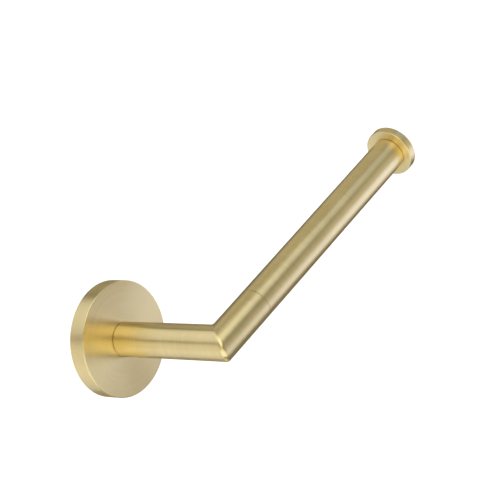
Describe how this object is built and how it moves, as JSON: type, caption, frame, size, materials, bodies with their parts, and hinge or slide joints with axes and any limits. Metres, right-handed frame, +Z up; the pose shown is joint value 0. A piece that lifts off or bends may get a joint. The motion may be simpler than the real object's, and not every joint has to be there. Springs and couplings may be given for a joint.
{
  "type": "toilet paper holder",
  "caption": "Wall-mounted open-ended roll holder: round cover plate, mitred L of round tube that lifts about the post, turning roll sleeve and thin round end cap.",
  "frame": {"origin": "centre of the cover plate's back, on the wall and on the post's axis", "axes": "+X along the arm towards its open end, +Y into the wall (the post stands out along -Y), +Z up; the arm is level at rest"},
  "size_m": [0.188, 0.0803, 0.055],
  "materials": {
    "brushed_brass": "brushed and satin lacquered",
    "turned_brass": "as turned",
    "plated_steel": "zinc plated",
    "stainless_steel": "machined",
    "acetal": "moulded, matt"
  },
  "bodies": {
    "base": {"wall_plate": "plated_steel", "rosette": "brushed_brass", "pivot_bush": "acetal", "stop_pin": "stainless_steel", "wave_washer": "stainless_steel"},
    "set_screw": {"set_screw": "stainless_steel"},
    "arm": {"pivot_journal": "turned_brass", "stop_washer": "plated_steel", "pivot_screw": "stainless_steel", "post_tube": "brushed_brass", "elbow_tube": "brushed_brass", "sleeve_journal": "turned_brass", "tie_rod": "stainless_steel", "end_cap": "brushed_brass"},
    "sleeve": {"roll_sleeve": "brushed_brass", "inner_bush": "acetal", "outer_bush": "acetal"}
  },
  "joints": [
    {"name": "arm_pivot", "type": "hinge", "parent": "base", "child": "arm", "pos_m": [0, 0, 0], "axis": [0, -1, 0], "range_deg": [0, 90]},
    {"name": "sleeve_spin", "type": "hinge", "parent": "arm", "child": "sleeve", "pos_m": [0, -0.0678, 0], "axis": [1, 0, 0], "continuous": true},
    {"name": "set_screw_travel", "type": "slide", "parent": "base", "child": "set_screw", "axis": [0, 0, -1], "range_m": [0, 0.0013]}
  ]
}
